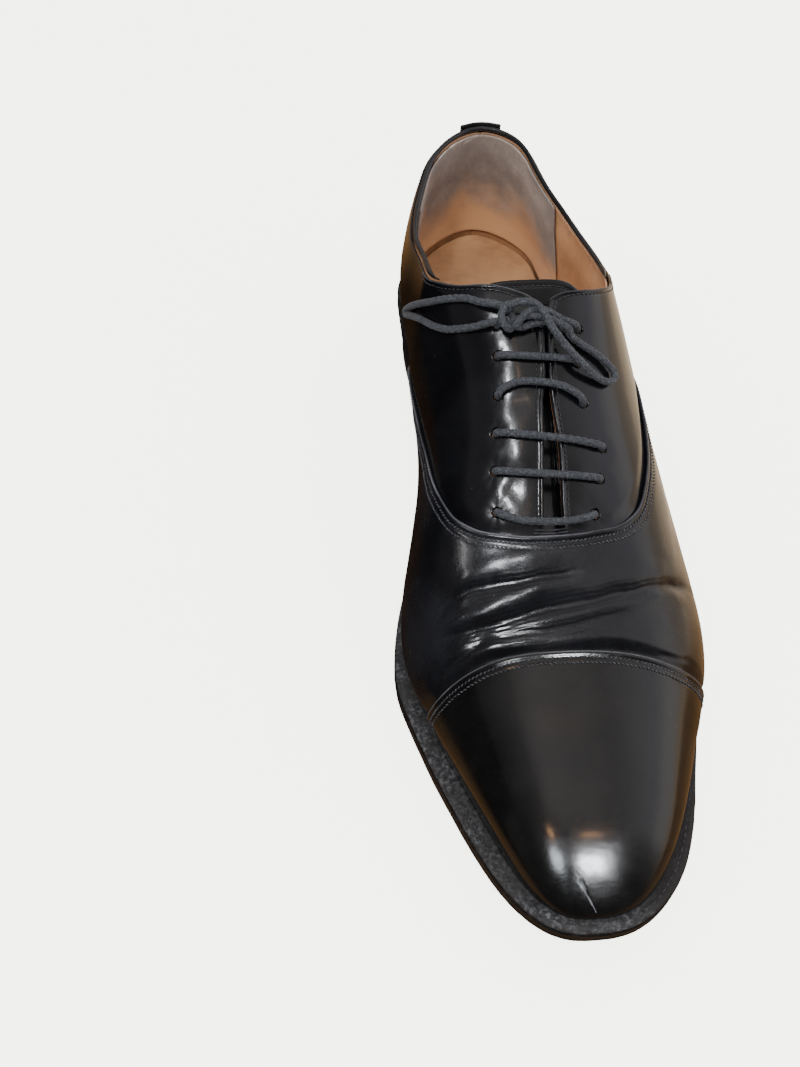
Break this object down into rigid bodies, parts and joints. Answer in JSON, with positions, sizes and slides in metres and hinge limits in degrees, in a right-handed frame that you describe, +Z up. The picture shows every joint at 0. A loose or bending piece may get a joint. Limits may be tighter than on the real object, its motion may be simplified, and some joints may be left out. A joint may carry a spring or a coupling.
{
  "type": "leather oxford shoe",
  "caption": "Left cap-toe dress shoe in polished leather: closed lacing tied in a bow, tongue, welted leather sole with toe spring and stacked heel, hollow for the foot.",
  "frame": {"origin": "centre of the shoe's bounding box on the ground, under the waist, the bow's two loops left out", "axes": "+Z up, toe towards -Y, heel towards +Y, +X towards the lateral side of this left shoe"},
  "size_m": [0.1034, 0.3013, 0.1036],
  "materials": {
    "upper_leather": "polished black calf",
    "edge_trim": "satin black",
    "aglet_plastic": "gloss",
    "lining_leather": "natural tan, worn",
    "textile": "woven",
    "suede": "worn suede",
    "board": "matt",
    "cork": "matt",
    "shank_wood": "matt",
    "sole_leather": "dark dyed edge",
    "rubber": "matt",
    "lace_cotton": "waxed braid"
  },
  "bodies": {
    "shoe": {"aglet_lateral": "aglet_plastic", "aglet_medial": "aglet_plastic", "back_tab": "upper_leather", "cork_filler": "cork", "facing_stay_lateral": "textile", "facing_stay_medial": "textile", "heel_counter": "board", "heel_lift_1": "sole_leather", "heel_lift_2": "sole_leather", "heel_lift_3": "sole_leather", "heel_lining": "suede", "heel_rand": "sole_leather", "heel_top_piece": "rubber", "insole": "board", "lace": "lace_cotton", "lace_end_lateral": "lace_cotton", "lace_end_medial": "lace_cotton", "lace_knot": "lace_cotton", "lace_loop_lateral": "lace_cotton", "lace_loop_medial": "lace_cotton", "outsole": "sole_leather", "quarter_lateral": "upper_leather", "quarter_lining_lateral": "lining_leather", "quarter_lining_medial": "lining_leather", "quarter_medial": "upper_leather", "shank": "shank_wood", "sock_liner": "lining_leather", "toe_cap": "upper_leather", "toe_puff": "board", "topline_binding": "edge_trim", "vamp": "upper_leather", "vamp_lining": "textile", "welt": "sole_leather"},
    "tongue": {"tongue": "upper_leather", "tongue_lining": "lining_leather"}
  },
  "joints": [
    {"name": "tongue_hinge", "type": "hinge", "parent": "shoe", "child": "tongue", "pos_m": [-0.00146, -0.04239, 0.05396], "axis": [-1, 0, 0], "range_deg": [0, 12], "stiffness_Nm_per_rad": 0.05}
  ]
}
